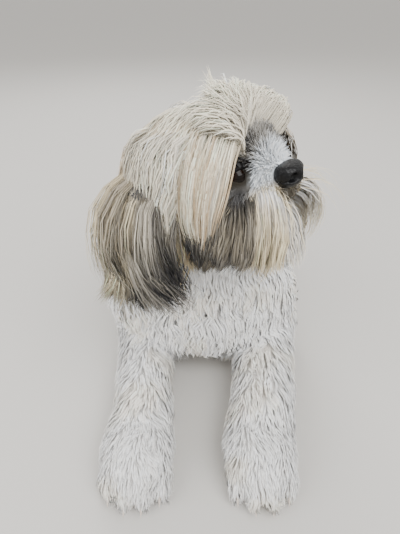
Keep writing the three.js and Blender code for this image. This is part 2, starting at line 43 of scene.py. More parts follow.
# Sizes shared with the solids, in millimetres.
chestHalf = 88
rumpHalf = 82
pawFront = -212
pawHalf = 32
hindPaw = {"x": 98, "front": 126}
face = {"centre": (23, -68, 249), "yaw": 51, "pitch": 8, "roll": 4}
eye = {"forward": 22, "out": 23.5, "up": 4.5, "radius": 10.5, "wide": 8.6, "tall": 6.8}
nose = {"forward": 52, "up": 1, "deep": 10.5, "half": 12.5, "tall": 9.5}
limbs = [
    {"side": 1, "elbow": 78, "wrist": 60, "paw": 53.5, "thick": 31},
    {"side": -1, "elbow": -64, "wrist": -54, "paw": -56, "thick": 28.5},
]
tailRadius = (15, 8)
neckBlend = 22
tailPath = [(2, 270, 122), (5, 304, 138), (12, 306, 168), (24, 270, 184), (38, 226, 176)]


def unit(v):
    return v / np.maximum(np.linalg.norm(v, axis=-1, keepdims=True), 1e-9)


# Eases from 0 to 1 between low and high, by 3 t squared less 2 t cubed.
def smooth(low, high, x):
    t = np.clip((x - low) / (high - low), 0, 1)
    return t * t * (3 - 2 * t)


def vec(*xyz):
    return np.array(xyz, float)


# The head's axes, turned to the dog's left, raised at the muzzle and tipped a little.
yaw, pitch, roll = (math.radians(face[k]) for k in ("yaw", "pitch", "roll"))
forward = vec(math.sin(yaw) * math.cos(pitch), -math.cos(yaw) * math.cos(pitch), math.sin(pitch))
level = vec(math.cos(yaw), math.sin(yaw), 0)
outward = level * math.cos(roll) + np.cross(forward, level) * math.sin(roll)
upward = np.cross(forward, outward)
headAxes = np.stack([forward, outward, upward])
centre = vec(*face["centre"])


def onHead(flu):
    return centre + np.asarray(flu, float) @ headAxes


def toHead(p):
    return (p - centre) @ headAxes.T


def alongHead(flu):
    return np.asarray(flu, float) @ headAxes


# Distance fields, negative inside, for arrays of points.
# Ellipsoid: near (near - 1) over its slope, where near is the length of the place over the radii.
def ball(p, c, r):
    q = (p - np.float32(c)) / np.float32(r)
    near = np.linalg.norm(q, axis=-1)
    slope = np.linalg.norm(q / np.float32(r), axis=-1)
    return near * (near - 1) / np.maximum(slope, 1e-6)


# Rounded cone: distance from the nearest place on its axis, less the radius there.
def rod(p, a, b, ra, rb):
    a, b = np.float32(a), np.float32(b)
    along = b - a
    h = np.clip(((p - a) @ along) / (along @ along), 0, 1)
    return np.linalg.norm(p - a - h[..., None] * along, axis=-1) - (ra + (rb - ra) * h)


# Barrel, chest, rump and neck, then each side's legs and paws with four toes.
def bodyForms():
    forms = [
        (ball, (2, 55, 82), (chestHalf - 2, 112, 84.5), 1),
        (ball, (4, -16, 91), (chestHalf, 62, 92.5), 30),
        (ball, (0, 150, 80), (80, 90, 76), 30),
        (ball, (0, 225, 84), (rumpHalf, 74, 80), 30),
        (rod, (0, 6, 120), (-2, -42, 205), 66, 52, 34),
    ]
    for limb in limbs:
        s, thick = limb["side"], limb["thick"]
        elbow, wrist = (limb["elbow"], -6, 35), (limb["wrist"], -132, thick)
        knee, hock = (s * 82, 168, 54), (s * 84, 262, 24)
        forms += [
            (rod, (s * 62, -30, 100), elbow, 34, thick, 22),
            (rod, (s * 50, 228, 92), knee, 50, 34, 24),
            (rod, elbow, wrist, thick + 2, thick - 2, 14),
            (ball, (limb["paw"], pawFront + 44, 24), (pawHalf, 42, 27), 14),
            (rod, knee, hock, 30, 21, 14),
            (rod, hock, (s * 97, 176, 18), 20, 18, 10),
            (ball, (s * hindPaw["x"], hindPaw["front"] + 36, 19), (24, 30, 20), 8),
        ]
        for toe in (-1.5, -0.5, 0.5, 1.5):
            lead = abs(toe) > 1
            at = (limb["paw"] + toe * 14.5, pawFront + (25 if lead else 17), 13 if lead else 14.5)
            forms.append((ball, at, (9.6, 18, 14), 3))
            at = (s * hindPaw["x"] + toe * 11, hindPaw["front"] + (17 if lead else 13), 11)
            forms.append((ball, at, (7.4, 14, 11), 3))
    return forms


headForms = [
    (ball, (-16, 0, 4), (56, 54, 45), 1),
    (ball, (12, 0, -4), (32, 38, 26), 12),
    (ball, (2, -31, -18), (34, 21, 27), 12),
    (ball, (2, 31, -18), (34, 21, 27), 12),
    (rod, (20, 0, 6), (46, 0, 1), 13, 10, 8),
    (ball, (37, -11, -12), (18, 15, 12), 6),
    (ball, (37, 11, -12), (18, 15, 12), 6),
    (ball, (31, 0, -28), (21, 17, 10), 5),
]


# Catmull-Rom curve through the points.
def bend(points, fine):
    p = np.array(points, float)
    p = np.vstack([2 * p[0] - p[1], p, 2 * p[-1] - p[-2]])
    out = []
    for n in range(1, len(p) - 2):
        t = np.linspace(0, 1, fine, endpoint=n == len(p) - 3)[:, None]
        a, b, c, d = p[n - 1 : n + 3]
        square = (2 * a - 5 * b + 4 * c - d) * t**2
        cube = (3 * b - a - 3 * c + d) * t**3
        out.append(0.5 * (2 * b + (c - a) * t + square + cube))
    return np.vstack(out)


tailLine = bend(tailPath, 6)


# Forms joined one by one, each blended over its own last number of millimetres.
def melt(p, forms, d=None):
    for form in forms:
        e = form[0](p, *form[1:-1])
        if d is None:
            d = e
            continue
        h = np.maximum(form[-1] - np.abs(d - e), 0) / form[-1]
        d = np.minimum(d, e) - h * h * form[-1] / 4
    return d


# Body, head and tail in one field; the tail is a chain of rods that thin evenly.
def whole(p):
    p = p.astype(np.float32)
    d = melt(p, bodyForms())
    head = melt(toHead(p).astype(np.float32), headForms)
    h = np.maximum(neckBlend - np.abs(d - head), 0) / neckBlend
    d = np.minimum(d, head) - h * h * neckBlend / 4
    count = len(tailLine) - 1
    thick, thin = tailRadius
    radii = [thick - (thick - thin) * n / count for n in range(count + 1)]
    tail = [(rod, tailLine[n], tailLine[n + 1], radii[n], radii[n + 1], 4) for n in range(count)]
    return melt(p, tail, d)


# The field sampled once on a grid; everything grows from it.
cell = 3.0
low = vec(-141, -240, -15)
shape = (95, 200, 116)
grid = np.stack(np.meshgrid(*[low[a] + cell * np.arange(shape[a]) for a in range(3)], indexing="ij"), -1)
field = np.stack([whole(grid[x]) for x in range(shape[0])])
slope = np.gradient(field, cell)
sampled = np.stack([field, *slope], -1).astype(np.float32)
print("field sampled")


# Distance and outward direction at points, by trilinear interpolation.
def sample(p):
    q = np.clip((p - low) / cell, 0, np.array(shape) - 1.001)
    i = q.astype(int)
    t = (q - i)[..., None]
    total = 0
    for n in range(8):
        o = (n & 1, n >> 1 & 1, n >> 2 & 1)
        w = 1
        for a in range(3):
            w = w * (t[..., a, :] if o[a] else 1 - t[..., a, :])
        total = total + sampled[i[..., 0] + o[0], i[..., 1] + o[1], i[..., 2] + o[2]] * w
    return total[..., 0], unit(total[..., 1:])


# Above zero over the plane where the head's coat meets the neck's.
def overThroat(p):
    return (p - vec(-4, -38, 206)) @ vec(0.1, -0.35, 0.93)


coatUnder = {"head": 9, "face": 3, "body": 5, "paws": 3}


# How far the skin lies inside the outline of the solids.
def coatDepth(p):
    flu = toHead(p)
    toFace = smooth(8, 30, flu[..., 0] - 0.25 * np.maximum(flu[..., 2], 0))
    head = coatUnder["head"] - (coatUnder["head"] - coatUnder["face"]) * toFace
    thinned = smooth(60, -150, p[..., 1]) * smooth(80, 40, p[..., 2])
    body = coatUnder["body"] - (coatUnder["body"] - coatUnder["paws"]) * thinned
    isHead = smooth(-6, 14, overThroat(p))
    body = np.where(p[..., 2] < 10, np.minimum(body, np.maximum(p[..., 2] * 0.6, 0.5)), body)
    return body * (1 - isHead) + head * isHead


# Quads where a grid of values passes through zero, a vertex at the mean crossing of each cell.
def surfaceNet(values):
    inside = values < 0
    corner = [inside[x : shape[0] - 1 + x, y : shape[1] - 1 + y, z : shape[2] - 1 + z]
              for x in (0, 1) for y in (0, 1) for z in (0, 1)]
    filled = sum(c.astype(np.int8) for c in corner)
    active = (filled > 0) & (filled < 8)
    index = np.full(active.shape, -1)
    index[active] = np.arange(active.sum())
    at = np.argwhere(active)
    total = np.zeros((len(at), 3))
    count = np.zeros(len(at))
    for axis in range(3):
        others = [a for a in range(3) if a != axis]
        for j in (0, 1):
            for k in (0, 1):
                a = at.copy()
                a[:, others[0]] += j
                a[:, others[1]] += k
                b = a.copy()
                b[:, axis] += 1
                va, vb = values[tuple(a.T)], values[tuple(b.T)]
                cross = (va < 0) != (vb < 0)
                t = np.where(cross, va / np.where(cross, va - vb, 1), 0)
                where = a.astype(float)
                where[:, axis] += t
                total[cross] += where[cross]
                count[cross] += 1
    points = total / count[:, None] * cell + low
    quads = []
    for axis in range(3):
        others = [a for a in range(3) if a != axis]
        sl = [slice(1, n - 1) for n in shape]
        sl[axis] = slice(0, shape[axis] - 1)
        a = inside[tuple(sl)]
        sl[axis] = slice(1, shape[axis])
        b = inside[tuple(sl)]
        for flip, mask in ((False, a & ~b), (True, ~a & b)):
            edge = np.argwhere(mask) + 1
            edge[:, axis] -= 1
            four = []
            for j, k in ((-1, -1), (0, -1), (0, 0), (-1, 0)):
                e = edge.copy()
                e[:, others[0]] += j
                e[:, others[1]] += k
                four.append(index[tuple(e.T)])
            quad = np.stack(four, 1)
            turned = flip != (axis == 1)
            quads.append(quad[:, ::-1] if turned else quad)
    return points, np.vstack(quads)


pieces = []


# One mesh from points in millimetres, with its markings, unwrap and shading, and the solids it replaces.
def finishPiece(name, points, faces, material, nodes, colours=None, patches=None, normals=None):
    mesh = bpy.data.meshes.new(name)
    mesh.from_pydata((points * mm).astype(np.float32), [], faces)
    mesh.polygons.foreach_set("use_smooth", np.ones(len(mesh.polygons), bool))
    if colours is not None:
        attribute = mesh.attributes.new("coatColour", "FLOAT_COLOR", "POINT")
        rgba = np.ones((len(points), 4), np.float32)
        rgba[:, :3] = colours
        attribute.data.foreach_set("color", rgba.ravel())
    if patches is not None:
        layer = mesh.uv_layers.new(name="OFBake")
        corner = np.zeros(len(mesh.loops), np.int32)
        mesh.loops.foreach_get("vertex_index", corner)
        layer.data.foreach_set("uv", patches[corner].astype(np.float32).ravel())
    mesh.update()
    mesh.validate()
    if normals is not None:
        mesh.normals_split_custom_set_from_vertices(normals.tolist())
    mesh.materials.append(material)
    piece = bpy.data.objects.new(name, mesh)
    bpy.context.scene.collection.objects.link(piece)
    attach(piece, "root")
    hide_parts(*nodes)
    pieces.append(piece)


# Quads of a tube of rings, and the place of each vertex, numbered from the first.
def tubeQuads(rings, around, first=0):
    index = first + np.arange(rings * around).reshape(rings, around)
    beside = np.roll(index, -1, 1)
    return index, np.stack([index[:-1], index[1:], beside[1:], beside[:-1]], -1).reshape(-1, 4)


# A shader socket with arithmetic.
class Wire:
    def __init__(self, shader, socket):
        self.shader = shader
        self.socket = socket

    def maths(self, operation, *others):
        return self.shader.node("ShaderNodeMath", {"operation": operation}, [self, *others])

    def __add__(self, other):
        return self.maths("ADD", other)

    def __mul__(self, other):
        return self.maths("MULTIPLY", other)

    __radd__ = __add__
    __rmul__ = __mul__


# One Principled material, built by calls that each add a node.
class Shader:
    def __init__(self, name, **values):
        self.material = bpy.data.materials.new(name)
        self.material.use_nodes = True
        self.tree = self.material.node_tree
        self.surface = self.tree.nodes["Principled BSDF"]
        for key, value in values.items():
            self.surface.inputs[key.replace("_", " ")].default_value = value

    def node(self, kind, settings, inputs=(), output=0):
        made = self.tree.nodes.new(kind)
        for key, value in settings.items():
            setattr(made, key, value)
        pairs = inputs.items() if isinstance(inputs, dict) else enumerate(inputs)
        for key, value in pairs:
            if isinstance(value, Wire):
                self.tree.links.new(value.socket, made.inputs[key])
            else:
                made.inputs[key].default_value = value
        return Wire(self, made.outputs[output])

    def feed(self, name, wire):
        self.tree.links.new(wire.socket, self.surface.inputs[name])

    def place(self):
        return self.node("ShaderNodeTexCoord", {}, (), "Object")

    def attribute(self, name):
        return self.node("ShaderNodeAttribute", {"attribute_name": name}, (), "Color")

    def noise(self, scale, detail=2.0):
        inputs = {"Vector": self.place(), "Scale": scale, "Detail": detail}
        return self.node("ShaderNodeTexNoise", {}, inputs, "Fac")

    def mixed(self, amount, a, b, blend="MIX"):
        settings = {"data_type": "RGBA", "blend_type": blend, "clamp_factor": True}
        return self.node("ShaderNodeMix", settings, {0: amount, 6: a, 7: b}, 2)

    def bump(self, height, distance, strength=1.0):
        settings = {"Height": height, "Distance": distance, "Strength": strength}
        self.feed("Normal", self.node("ShaderNodeBump", {}, settings, "Normal"))


# Hair takes its marking from the mesh, varied by fine noise, and glows a little where light passes through.
def hairMaterial(name, roughness):
    hair = Shader(name, Roughness=roughness, Specular_IOR_Level=0.12, Subsurface_Weight=0.35,
                  Subsurface_Radius=(1.0, 0.9, 0.8), Subsurface_Scale=0.004)
    shade = hair.noise(420.0) * 0.5 + 0.75
    tone = hair.node("ShaderNodeCombineColor", {}, [shade, shade, shade])
    hair.feed("Base Color", hair.mixed(1.0, hair.attribute("coatColour"), tone, "MULTIPLY"))
    return hair.material


coatMaterial = hairMaterial("coatHair", 0.62)
earMaterial = hairMaterial("earHair", 0.55)
skinShader = Shader("skin", Roughness=0.8, Specular_IOR_Level=0.05)
skinShader.feed("Base Color", skinShader.attribute("coatColour"))
skinShader.bump(skinShader.noise(700.0, 4.0), 0.0006)

# Markings. Colours are linear light; roots are told from their place on the head or body.
tones = {
    "white": (0.92, 0.90, 0.87),
    "cream": (0.84, 0.69, 0.44),
    "warm": (0.93, 0.83, 0.64),
    "tan": (0.50, 0.34, 0.185),
    "grey": (0.225, 0.22, 0.22),
    "dark": (0.013, 0.0125, 0.013),
    "bluishLight": (0.80, 0.85, 0.90),
}
tones = {k: np.array(v) for k, v in tones.items()}


def towards(colour, tone, amount):
    amount = np.clip(amount, 0, 1)[..., None]
    return colour * (1 - amount) + tones[tone] * amount


# Smooth noise of about -1 to 1 from a few waves in random directions.
def cloud(p, size, seed):
    r = np.random.default_rng(seed)
    total = 0
    for _ in range(7):
        way = unit(r.normal(size=3)) * r.uniform(0.7, 1.6) * 2 * math.pi / size
        total = total + np.sin(p @ way + r.uniform(0, 6.3))
    return total / 3.2


def ownerOfHead(p):
    return overThroat(p) > 0


# Cream and white, with a dark arch over the bridge, dark eye patches and grey bands down the cheeks.
def headMarkings(p, patch=17):
    flu = toHead(p)
    f, l, u = flu[..., 0], flu[..., 1], flu[..., 2]
    a = np.abs(l)
    n = cloud(p, 26, 3)
    colour = np.ones(p.shape) * tones["cream"]
    colour = towards(colour, "warm", smooth(12, 32, u + f * 0.4) * 0.85)
    colour = towards(colour, "tan", smooth(-18, -48, f) * smooth(48, 24, u) * 0.75 * (0.6 + 0.4 * n))
    ring = np.hypot(l, (u - 4) * 0.95)
    # Pale fur on the upper front of the muzzle, with a bluish tint painted as cool light falling on it.
    colour = towards(colour, "bluishLight", smooth(31, 36, f) * smooth(-8, 0, u) * smooth(30, 24, ring))
    arch = smooth(25, 21, ring) * smooth(4, 9, u) * smooth(14, 20, f) * smooth(37, 31, f)
    colour = towards(colour, "grey", arch * (0.85 + 0.15 * n))
    colour = towards(colour, "dark", arch * (0.35 + 0.5 * smooth(2, 16, a + 2 * n)))
    fromEye = flu - np.stack([np.full_like(f, 27), np.sign(l) * 25, np.full_like(f, 4)], -1)
    fromEye[..., 2] *= np.where(fromEye[..., 2] < 0, 0.72, 1)
    eyeAway = np.linalg.norm(fromEye, axis=-1)
    colour = towards(colour, "dark", smooth(patch, patch - 4, eyeAway) * smooth(38, 33, f) * 0.97)
    front = np.where(l < 0, 39, 20)
    band = smooth(21, 26, a) * smooth(2, -5, u) * smooth(-36, -26, u)
    band = band * smooth(-8, 4, f) * smooth(0, -6, f - front)
    colour = towards(colour, "grey", band * (0.75 + 0.25 * n))
    colour = towards(colour, "dark", band * (0.4 + 0.4 * smooth(0.0, 0.6, cloud(p, 9, 4))))
    lip = smooth(38, 43, f) * smooth(-5, -9, u) * smooth(-27, -23, u) * smooth(14, 11, a)
    return towards(colour, "dark", lip * 0.9)


def bodyMarkings(p):
    n = cloud(p, 90, 8)
    colour = np.ones(p.shape) * tones["white"]
    gold = smooth(40, 90, p[..., 1]) * smooth(70, 120, p[..., 2])
    colour = towards(colour, "tan", gold * smooth(-0.1, 0.6, n) * 0.7)
    colour = towards(colour, "cream", smooth(0.1, 0.8, cloud(p, 60, 5)) * 0.3)
    tail = smooth(200, 215, p[..., 1]) * smooth(150, 165, p[..., 2]) * smooth(240, 285, p[..., 1])
    return towards(colour, "grey", tail * 0.5)


def markings(p):
    head = ownerOfHead(p)[..., None]
    return np.where(head, headMarkings(p), bodyMarkings(p))


# One skin under the whole coat.
depth = coatDepth(grid)
skinPoints, skinQuads = surfaceNet(field + depth)
for _ in range(3):
    d, g = sample(skinPoints)
    skinPoints = skinPoints - g * (d + coatDepth(skinPoints))[:, None] * 0.8
skinPoints[:, 2] = np.maximum(skinPoints[:, 2], 0.3)
print("skin", len(skinPoints), len(skinQuads))
fleshNodes = ["torso", "neck", "head", "muzzle", "jaw", "foreleg_left", "foreleg_right",
              "hindleg_left", "hindleg_right", "tail"]
# The skin takes the coat's markings, darkened by 0.8 as painted shade under the coat.
shadedSkinColour = markings(skinPoints) * 0.8
corners = skinPoints[skinQuads]
facing = np.cross(corners[:, 2] - corners[:, 0], corners[:, 3] - corners[:, 1])
if (facing * sample(corners.mean(1))[1]).sum() < 0:
    skinQuads = skinQuads[:, ::-1]
finishPiece("skin", skinPoints, skinQuads, skinShader.material, fleshNodes, shadedSkinColour)


# Where a root lies on an unwrap of the skin: round an axis, and along it.
def chart(p, kind):
    axes = {
        "head": (centre, headAxes[2], headAxes[0], 95),
        "body": (vec(0, 110, 84), vec(0, 1, 0), vec(0, 0, -1), 340),
        "left": (vec(60, -90, 28), vec(0, 1, 0), vec(0, 0, -1), 150),
        "right": (vec(-58, -90, 28), vec(0, 1, 0), vec(0, 0, -1), 150),
        "tail": (vec(14, 280, 160), vec(0, 0, 1), vec(0, 1, 0), 70),
    }
    middle, axis, start, reach = axes[kind]
    side = np.cross(axis, start)
    q = p - middle
    turn = np.arctan2(q @ side, q @ start) / (2 * math.pi) + 0.5
    along = (q @ axis) / (2 * reach) + 0.5
    return np.stack([0.01 + 0.98 * turn, 0.01 + 0.98 * np.clip(along, 0, 1)], -1)


# Roots are drawn evenly over the skin.
quadPoints = skinPoints[skinQuads]
diagonals = quadPoints[:, 2:] - quadPoints[:, :2]
quadAreas = np.linalg.norm(np.cross(diagonals[:, 0], diagonals[:, 1]), axis=1)
quadMiddles = quadPoints.mean(1)


# Random places on the skin, as many as asked, where a weight from 0 to 1 allows.
def rootsWhere(weight, count):
    share = quadAreas * weight
    pick = rng.choice(len(share), count, p=share / share.sum())
    mixed = rng.dirichlet((1, 1, 1, 1), count)
    return (quadPoints[pick] * mixed[..., None]).sum(1)


comb = {"fall": 3.2, "seek": 6, "reach": 14}  # how fast hair falls and seeks its goal, how far it is drawn in


# Paths of hair: each leaves its root, is drawn down by its weight and is held off the body by its layer.
def groom(root, way, long, lift, droop, stations, rise=0.3, draw=0.4, clump=0.5, group=14, wave=1.0,
          waveLength=34.0, frizz=0.5, normal=None, floor=0.6, curl=None, goal=None, pull=0.0):
    count = len(root)
    here = root.copy()
    first, out = sample(here)
    if normal is not None:
        out = normal
    if lift is None:
        lift = first
    heading = unit(way + out * np.reshape(rise, (-1, 1)))
    step = (long / stations)[:, None]
    paths = [here]
    for n in range(stations):
        t = (n + 1) / stations
        heading = unit(heading + down * np.reshape(droop, (-1, 1)) * (comb["fall"] / stations) * (0.5 + t))
        if goal is not None:
            heading = unit(heading + unit(goal - here) * pull * t * (comb["seek"] / stations))
        ahead = here + heading * step
        d, g = sample(ahead)
        target = first + (lift - first) * smooth(0, 0.4, t)
        ahead = ahead + g * np.maximum(target - d, 0)[:, None]
        ahead = ahead - g * (np.clip(d - target, 0, comb["reach"]) * draw)[:, None]
        ahead[:, 2] = np.maximum(ahead[:, 2], floor)
        heading = unit(ahead - here)
        here = here + heading * step
        paths.append(here)
    paths = np.stack(paths, 1)
    t = np.linspace(0, 1, stations + 1)[None, :, None]
    _, out = sample(paths)
    along = unit(np.gradient(paths, axis=1))
    across = unit(np.cross(along, out))
    guides = rng.choice(count, max(1, count // group), replace=False)
    nearest = np.concatenate([
        guides[np.argmin(((part[:, None] - root[guides][None]) ** 2).sum(-1), 1)]
        for part in np.array_split(root, max(1, count // 400))
    ])
    phase = rng.uniform(0, 6.3, count)[nearest][:, None, None]
    distance = t * long[:, None, None]
    swing = np.sin(distance * 2 * math.pi / waveLength + phase) * wave * np.minimum(1, t * 1.6)
    paths = paths + across * swing + out * np.cos(distance * 5.1 / waveLength + phase) * wave * 0.4 * t
    tight = clump * smooth(0.0, 1.0, t) * rng.uniform(0.3, 1, (count, 1, 1))
    offset = (root - root[nearest])[:, None, :] * 0.35
    paths = paths * (1 - tight) + (paths[nearest] + offset) * tight
    bent = rng.normal(size=(count, 1, 3)) * frizz * t**1.5
    paths = paths + (bent + rng.normal(size=paths.shape) * frizz * 0.2 * t)
    if curl is not None:
        paths = paths + curl[:, None, :] * smooth(0.62, 1.0, t)
    paths[..., 2] = np.maximum(paths[..., 2], floor)
    return paths


patchReach = 0.0014  # half the side of each tuft's place in the unwrap


# Closed three-sided tufts along paths, half width 0.6 + 0.85 sqrt t - 1.15 t^2.2, shaded by a share,
# soft, of the body's slope and, where hair hangs free, turned up by airy.
def tuft(name, paths, width, colours, chartKind, material, slot, nodes, thin=0.2, soft=0.75, airy=0.0):
    count, stations = paths.shape[0], paths.shape[1] - 1
    t = np.linspace(0, 1, stations + 1)
    profile = 0.6 + 0.85 * np.sqrt(t) - 1.15 * t**2.2
    along = unit(np.gradient(paths, axis=1))
    _, out = sample(paths)
    across = unit(np.cross(along, out))
    over = np.cross(across, along)
    half = (width[:, None] * profile[None, :-1] * 0.5)[..., None]
    ring = paths[:, :-1]
    a, o = across[:, :-1], over[:, :-1]
    corners = np.stack([ring - a * half, ring + a * half, ring + o * half * thin * 2], 2)
    points = np.concatenate([corners.reshape(count, -1, 3), paths[:, -1:]], 1)
    slopes = out.copy()
    slopes[..., 2] = np.maximum(slopes[..., 2], -0.1)
    slopes = unit(slopes * 0.6 + over * 0.4 + vec(0.2, -0.6, 0.8) * airy)
    own = np.stack([-a, a, o], 2) * (1 - soft) + slopes[:, :-1, None] * soft
    normals = np.concatenate([own.reshape(count, -1, 3), slopes[:, -1:]], 1)
    each = 3 * stations + 1
    faces = [(0, 1, 2)]
    for n in range(stations - 1):
        for k in range(3):
            p, q = 3 * n + k, 3 * n + (k + 1) % 3
            faces += [(p, p + 3, q), (q, p + 3, q + 3)]
    last = 3 * (stations - 1)
    faces += [(last + k, each - 1, last + (k + 1) % 3) for k in range(3)]
    faces = (np.array(faces)[None] + (np.arange(count) * each)[:, None, None]).reshape(-1, 3)
    tone = np.concatenate([np.repeat(colours[:, :-1], 3, 1), colours[:, -1:]], 1).reshape(-1, 3)
    patch = chart(paths[:, 0], chartKind)[:, None, :]
    beside = np.concatenate([np.tile([-patchReach, patchReach, 0.0], stations), [0.0]])
    level = np.concatenate([np.repeat(np.linspace(-patchReach, 0.001, stations), 3), [patchReach]])
    patches = (patch + np.stack([beside, level], -1)[None]).reshape(-1, 2)
    print(name, count, "tufts,", len(faces), "triangles")
    normals = unit(normals.reshape(-1, 3))
    finishPiece(name, points.reshape(-1, 3), faces, material, nodes, tone, patches, normals)


# Each tuft's own tone of its marking, at random, with a root painted darker as shade deep in the coat and a
# paler tip.
def streaked(base, stations, spread=0.16):
    count = len(base)
    own = np.exp(rng.normal(size=(count, 1, 1)) * spread)
    t = np.linspace(0, 1, stations + 1)[None, :, None]
    # 0.86 at the root to 1.06 at the tip: painted shade among the roots, lifting towards the tip.
    return np.clip(base[:, None, :] * own * (0.86 + 0.2 * smooth(0, 0.5, t)), 0.004, 0.95)


def parts(p):
    flu = toHead(p)
    return flu[..., 0], flu[..., 1], flu[..., 2]


# Away from the top of the nose, along the skin.
def radial(p, source=(44, 0, 3)):
    _, g = sample(p)
    way = p - onHead(source)
    way = way - (way * g).sum(-1, keepdims=True) * g
    return unit(way)


# Where each quad of the skin lies in the head's axes, and which are clear of the eyes and nose.
onHeadSkin = ownerOfHead(quadMiddles)
qf, ql, qu = parts(quadMiddles)
eyeGap = np.minimum(*[np.linalg.norm(quadMiddles - onHead((28, s * 26, 4.5)), axis=1) for s in (-1, 1)])
clearOfEyes = eyeGap > 10
noseGap = np.linalg.norm((toHead(quadMiddles) - vec(53, 0, 1)) / vec(11, 13, 10), axis=1) > 1


def region(*tests):
    total = onHeadSkin & clearOfEyes & noseGap
    for test in tests:
        total = total & test
    return total.astype(float)


# A layer for each hair between the skin and the outside of the coat.
def layered(count, low, high):
    return low + (high - low) * rng.uniform(0, 1, count) ** 0.7


# A place on the head, on the side given, for numbers or arrays.
def mirrored(side, f, l, u):
    return onHead(np.stack(np.broadcast_arrays(f, side * np.asarray(l), u), -1))


def aim(f, l, u):
    return alongHead(np.stack(np.broadcast_arrays(f, l, u), -1).astype(float))


# Tufts of the head's coat.
def headTuft(name, paths, width, colours, *nodes, **shading):
    tuft(name, paths, width, colours, "head", coatMaterial, "coat", list(nodes), **shading)


# A size for each tuft, at random between low and high times the given one.
def varied(size, count, low=0.6, high=1.2):
    return size * rng.uniform(low, high, count)


# Forehead fan: fluffy pale hair that rises from between the eyes and falls to both sides.
fan = {"count": 3500, "long": 42, "width": 1.2, "lift": 7}
root = rootsWhere(region(qf > 6, qf < 36, qu > 15, np.hypot(ql, qu - 4) > 23, ql > -20), fan["count"])
f, l, u = parts(root)
far = smooth(-2, 14, l)
long = varied(fan["long"], fan["count"], 0.7, 1.12) * (0.6 + 0.4 * smooth(36, 24, f) + 0.2 * far)
way = aim(0.3 * far, 0.34 + 0.032 * np.minimum(l, 15), 0.75 + 0.2 * far)
layer = layered(fan["count"], -1, fan["lift"])
paths = groom(root, way, long, layer, 0.24, 5, clump=0.45, group=18, wave=0.6, frizz=0.9)
width = varied(fan["width"], fan["count"])
colour = streaked(towards(headMarkings(root), "warm", np.full(fan["count"], 0.6)), 5, 0.08)
headTuft("coatForehead", paths, width, colour, "head", airy=0.6)

# Wisps that stand out of the crown.
wisp = {"count": 44, "long": 32, "width": 0.9}
root = rootsWhere(region(qf > -8, qf < 12, qu > 38, ql > 2), wisp["count"])
way = aim(np.full(wisp["count"], -0.6), 0.1, 0.6)
long = varied(wisp["long"], wisp["count"], 0.6, 1.15)
paths = groom(root, way, long, None, 0.12, 5, rise=0.7, draw=0.0, clump=0.8, group=9, wave=1.5, frizz=1.6)
width = varied(wisp["width"], wisp["count"], 0.7, 1.2)
headTuft("coatWisps", paths, width, streaked(headMarkings(root), 5, 0.08), "head")

# Whiskers that arch from the lips.
whisker = {"count": 36, "long": 54, "width": 0.5}
root = rootsWhere(region(qf > 36, qu < -3, qu > -16, np.abs(ql) > 8), whisker["count"])
f, l, u = parts(root)
way = aim(0.7, np.sign(l) * 0.75, 0.25)
long = varied(whisker["long"], whisker["count"], 0.6, 1.1)
paths = groom(root, way, long, None, 0.6, 6, draw=0.0, clump=0.0, wave=0.8, frizz=1.5)
colour = streaked(np.ones(root.shape) * tones["cream"], 6, 0.1)
headTuft("coatWhiskers", paths, np.full(whisker["count"], whisker["width"]), colour, "muzzle", airy=1.0)

# Crown: two layers combed from the parting over each side, down in front of the ears.
crown = {"under": 2000, "over": 4300, "farShare": 0.48, "width": 1.25, "lift": 9}
for side, s in (("Right", -1), ("Left", 1)):
    share = 1.0 if s < 0 else crown["farShare"]
    count = int(crown["under"] * share)
    root = rootsWhere(region(qf < 16, qf > -52, qu > -14, ql * s > 14), count)
    f, l, u = parts(root)
    long = varied(34 + (u + 40) * 0.7, count, 0.75, 1.1)
    goal = mirrored(s, f * 0.4 - 8, 60, -46)
    paths = groom(root, aim(-0.5, 0.7 * s, -0.2), long, layered(count, -2, 4), 0.9, 5, clump=0.6, group=18,
                  wave=1.4, goal=goal, pull=0.5)
    colour = streaked(towards(headMarkings(root), "tan", 0.5 + 0.3 * cloud(root, 14, 20)), 5)
    headTuft("coatCrownUnder" + side, paths, varied(crown["width"], count, 0.7, 1.3), colour, "head")
    count = int(crown["over"] * share)
    root = rootsWhere(region(qf < 20, qf > -50, qu > 22, ql * s > -9, ql * s < 34), count)
    f, l, u = parts(root)
    long = varied(84 + np.clip(30 - l * s, 0, 34) * 0.9, count, 0.72, 1.08)
    goal = mirrored(s, 2 + 0.34 * f, 60, -52)
    way = aim(-0.5 + 0.45 * smooth(-10, 24, f), 0.85 * s, 0.1)
    stations = 6 if s < 0 else 5
    paths = groom(root, way, long, layered(count, 2, crown["lift"]), 0.85, stations, rise=0.2, draw=0.5,
                  clump=0.6, group=22, wave=0.9, waveLength=70, frizz=0.4, goal=goal, pull=0.55)
    colour = streaked(headMarkings(root), stations, 0.12)
    t = np.linspace(0, 1, stations + 1)[None, :]
    patchy = smooth(-0.4, 0.5, cloud(root, 9, 21))[:, None]
    colour = towards(colour, "tan", smooth(0.25, 0.7, t) * patchy * 0.9)
    headTuft("coatCrownOver" + side, paths, varied(crown["width"], count), colour, "head", soft=0.85)

# Nape: the back of the head down to the neck.
nape = {"count": 1300, "long": 60, "width": 1.7, "lift": 6}
root = rootsWhere(region(qf < -14, qu < 56), nape["count"])
long = varied(nape["long"], nape["count"], 0.75, 1.1)
paths = groom(root, radial(root), long, layered(nape["count"], -2, nape["lift"]), 0.8, 4, wave=1.5)
width = varied(nape["width"], nape["count"])
headTuft("coatNape", paths, width, streaked(headMarkings(root), 4), "head", "neck")

